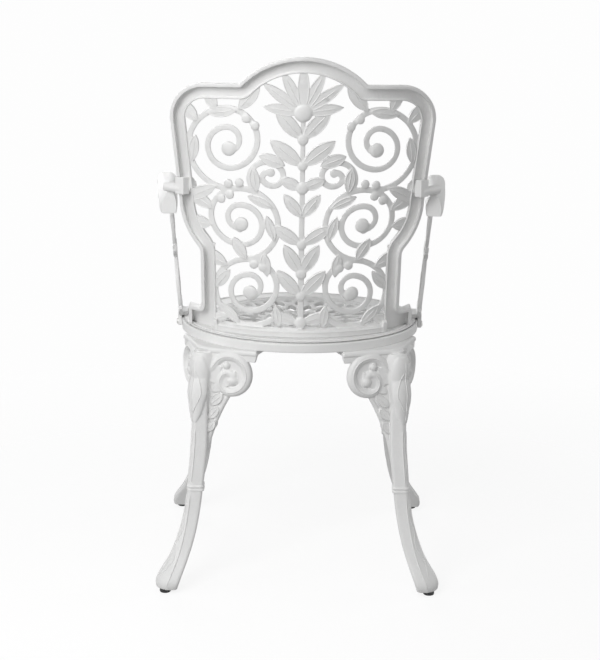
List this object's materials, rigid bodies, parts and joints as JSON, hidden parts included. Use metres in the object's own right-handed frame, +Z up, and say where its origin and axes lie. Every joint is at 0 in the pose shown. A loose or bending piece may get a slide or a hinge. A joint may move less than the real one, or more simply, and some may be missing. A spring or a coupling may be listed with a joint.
{
  "type": "cast openwork armchair",
  "caption": "Patio armchair of bolted castings: round dished seat, curved openwork back with an arched crest, open arms and scrolled cabriole legs on glides.",
  "frame": {"origin": "on the floor under the middle of the bounding box", "axes": "+Z up, the chair faces -Y, +X is the sitter's left"},
  "size_m": [0.5304, 0.537, 0.92],
  "materials": {
    "coated_casting": "satin",
    "glide": "matte",
    "fastener": "satin"
  },
  "bodies": {
    "root": {"seat_ring": "coated_casting", "seat_deck": "coated_casting", "back_panel": "coated_casting", "arm_left": "coated_casting", "arm_right": "coated_casting", "leg_rear_left": "coated_casting", "leg_rear_right": "coated_casting", "leg_front_left": "coated_casting", "leg_front_right": "coated_casting", "glide_rear_left": "glide", "glide_rear_right": "glide", "glide_front_left": "glide", "glide_front_right": "glide", "leg_bolts": "fastener", "leg_washers": "fastener", "back_bolts": "fastener", "back_washers": "fastener", "deck_screws": "fastener", "arm_back_bolts": "fastener", "arm_back_washers": "fastener", "arm_seat_screws": "fastener"}
  },
  "joints": []
}
